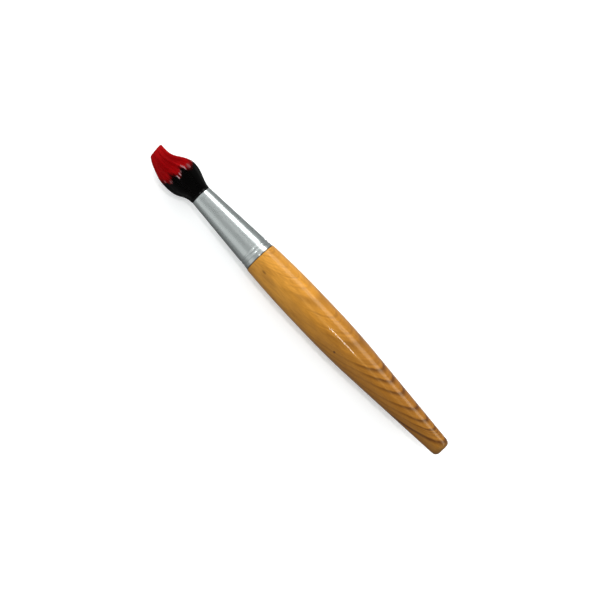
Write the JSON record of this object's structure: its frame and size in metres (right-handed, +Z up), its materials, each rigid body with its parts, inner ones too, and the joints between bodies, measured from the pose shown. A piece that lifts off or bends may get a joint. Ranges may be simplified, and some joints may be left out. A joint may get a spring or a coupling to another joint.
{
  "type": "paint brush",
  "caption": "Stocky round paint brush with a thick turned wooden handle, a crimped metal ferrule and a full tuft that leans to a narrow, paint-loaded tip.",
  "frame": {"origin": "under the middle of the bounding box, on the plane that the grip lies on", "axes": "+X along the brush from the butt to the hair, +Z up, +Y the side that the middle of the tuft leans to"},
  "size_m": [0.18, 0.0174, 0.0174],
  "materials": {
    "varnished_wood": "gloss",
    "ferrule_metal": "satin",
    "cement": "satin",
    "resin": "gloss",
    "root_hair": "satin",
    "thread": "matte",
    "black_hair": "gloss",
    "red_paint": "satin"
  },
  "bodies": {
    "brush": {"handle": "varnished_wood", "ferrule": "ferrule_metal", "handle_cement": "cement", "root_resin": "resin", "hair_root": "root_hair", "root_binding": "thread"},
    "tuft": {"tuft_hair": "black_hair", "painted_tip": "red_paint"}
  },
  "joints": [
    {"name": "tuft_bend", "type": "hinge", "parent": "brush", "child": "tuft", "pos_m": [0.0614, 0, 0.0087], "axis": [0, 0, 1], "range_deg": [-25, 25], "stiffness_Nm_per_rad": 0.02}
  ]
}
